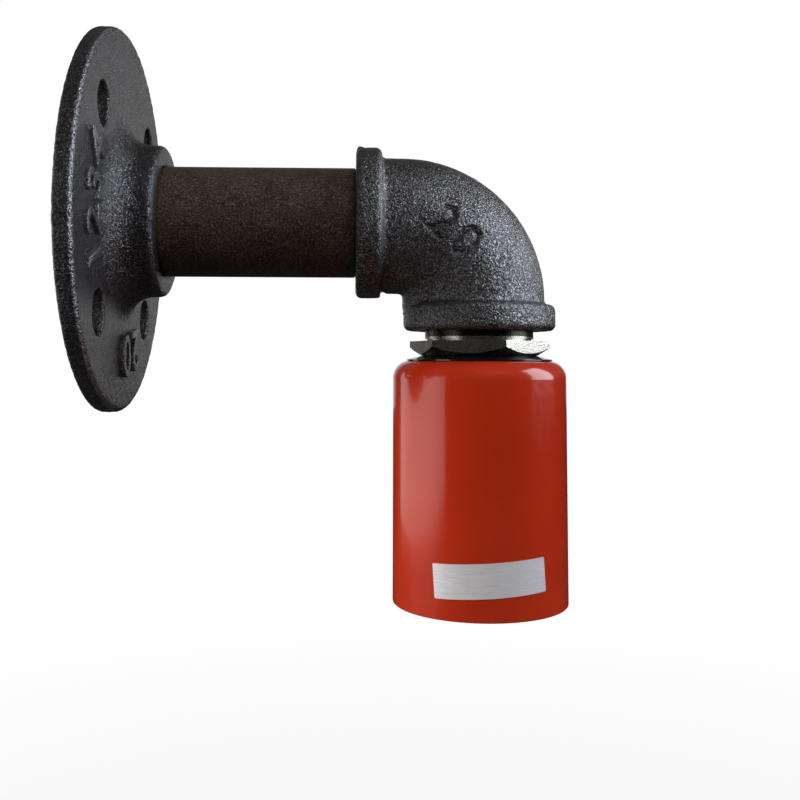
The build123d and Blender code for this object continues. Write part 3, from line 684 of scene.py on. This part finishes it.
def set_world():
    """Room that is dim below the horizon, with a white background for the camera.

    Sharp reflections see that background too, where it lies straight behind the light.
    """
    world = bpy.data.worlds.new("studio")
    bpy.context.scene.world = world
    world.use_nodes = True
    room = Nodes(world.node_tree)
    room.tree.nodes.clear()
    way = room.add("ShaderNodeSeparateXYZ",
                   Vector=room.add("ShaderNodeTexCoord").outputs["Generated"]).outputs
    rays = room.add("ShaderNodeLightPath").outputs
    dim = room.add("ShaderNodeBackground", Color=(1.0, 0.96, 0.92, 1),
                   Strength=room.between(way["Z"], 0.0, 0.2, ROOM_LOW, ROOM_HIGH))
    white = room.add("ShaderNodeBackground", Color=(1, 1, 1, 1), Strength=1.0)
    sharp = room.maths("MAXIMUM", rays["Is Glossy Ray"], rays["Is Transmission Ray"])
    behind = room.between(way["Y"], 0.86, 0.97, 0.0, 0.65)
    seen = room.maths("MAXIMUM", room.maths("MULTIPLY", sharp, behind), rays["Is Camera Ray"])
    room.mix_shaders(seen, dim, white, room.add("ShaderNodeOutputWorld"))


def set_floor():
    """Plain pale floor well below the light, which takes its soft shadow."""
    let_go()
    bpy.ops.mesh.primitive_plane_add(size=8, location=FLOOR_CENTRE)
    floor = settle(named("floor"))
    finish = Finish("pale_floor", Roughness=0.9, Specular_IOR_Level=0.0)
    to_camera = finish.add("ShaderNodeLightPath").outputs["Is Camera Ray"]
    finish.set(finish.shader, "Base Color",
               finish.blend(to_camera, (FLOOR_BOUNCE,) * 3 + (1,), (0.4, 0.4, 0.4, 1)))
    away = finish.add("ShaderNodeVectorMath", {"operation": "DISTANCE"}, Vector=finish.place)
    finish.set(away, 1, FLOOR_CENTRE)
    white_share = finish.between(away.outputs["Value"], 0.1, 0.6, 0.86, 1.0)
    finish.mix_shaders(finish.maths("MULTIPLY", to_camera, white_share), finish.shader,
                       finish.add("ShaderNodeEmission", Strength=1.0),
                       finish.tree.nodes["Material Output"])
    floor.data.materials.append(finish.material)


def set_camera():
    """The camera, where the photograph was taken from, with the crop's small shift."""
    focal = 981.7  # pixels, as are the two below
    centre_x, centre_y = 380.8, 284.1
    yaw, pitch, roll = 0.0247, 0.0761, 0.0039  # radians
    place = Vector((60.7, -240.0, -33.3)) * MM
    right = Vector((cos(yaw), -sin(yaw), 0))
    ahead = Vector((sin(yaw) * cos(pitch), cos(yaw) * cos(pitch), sin(pitch)))
    up = right.cross(ahead)
    across = cos(roll) * right + sin(roll) * up
    above = cos(roll) * up - sin(roll) * right
    let_go()
    bpy.ops.object.camera_add()
    camera = named("photo_camera")
    camera.data.sensor_width = 36
    camera.data.lens = focal / PHOTO_SIDE * camera.data.sensor_width
    camera.data.shift_x = (PHOTO_SIDE / 2 - centre_x) / PHOTO_SIDE
    camera.data.shift_y = (centre_y - PHOTO_SIDE / 2) / PHOTO_SIDE
    camera.data.clip_start = 0.01
    camera.data.clip_end = 50
    camera.matrix_world = axes(across, above, -ahead, place)
    bpy.context.scene.camera = camera


def set_lights():
    """Window on the right, a bright wall low on the left, and soft fill that shows no edges."""
    soft_light("window", (0.74, -0.07, 0.32), (0.09, -0.07, 0.32), (0.46, 0.70), 5.6,
               (0.88, 0.94, 1.0))
    soft_light("left_wall", (-0.62, -0.03, 0.00), (0.09, -0.13, 0.00), (1.2, 0.40), 2.0,
               (1.0, 0.98, 0.94))
    soft_light("left_fill", (-0.68, -0.10, -0.12), (0.09, 0, -0.08), (0.6, 0.22), 6.5,
               (1.0, 0.95, 0.88), in_gloss=False)
    soft_light("front_fill", (0.36, -0.85, 0.80), (0.07, 0, -0.03), (0.8, 0.6), 10.8,
               (1.0, 0.94, 0.88), in_gloss=False)


# Putting it together -----------------------------------------------------------------------

bpy.context.scene.view_settings.view_transform = "Standard"
set_camera()
set_world()
set_floor()
set_lights()

finishes = {
    # Painted lighter than the flange's copy, a painted difference of light and shade.
    "cast_black": black_casting("black_casting", 1.14),
    "tube_steel": dark_tube(),
    "plated_zinc": zinc_plate("zinc_plate"),
    "plain_steel": bright_steel(),
    "black_gloss": gloss_black(),
    "orange_paint": orange_enamel(),
    "foil": brushed_foil(),
    "ceramic_white": glazed_ceramic(),
    "brass": bright_brass(),
    "brown_lead": sheathed_copper("brown_sheath", shade(92, 54, 32), shade(108, 66, 42)),
    "blue_lead": sheathed_copper("blue_sheath", shade(34, 84, 160), shade(46, 98, 176)),
    "green_lead": sheathed_copper("green_sheath", shade(86, 140, 52), shade(104, 156, 64)),
}
dress_nodes(finishes)
# The bush's thread above its hexagon is painted dark as painted shade.
coat(nodes["hex_bush"], zinc_plate("thread_shaded_zinc", BUSH_FACE_Z + 0.9 * MM))
# Painted darker than the elbow's copy, a painted difference of light and shade, with the rim's
# ridge painted bright as wear and a painted highlight.
make_flange(black_casting("darker_casting_with_ridge_wear_and_highlight", 0.9, flange_high.z, FLANGE_FACE_X))
make_flange_numbers(finishes["cast_black"])
make_elbow(finishes["cast_black"])
make_shell_thread(finishes["brass"])
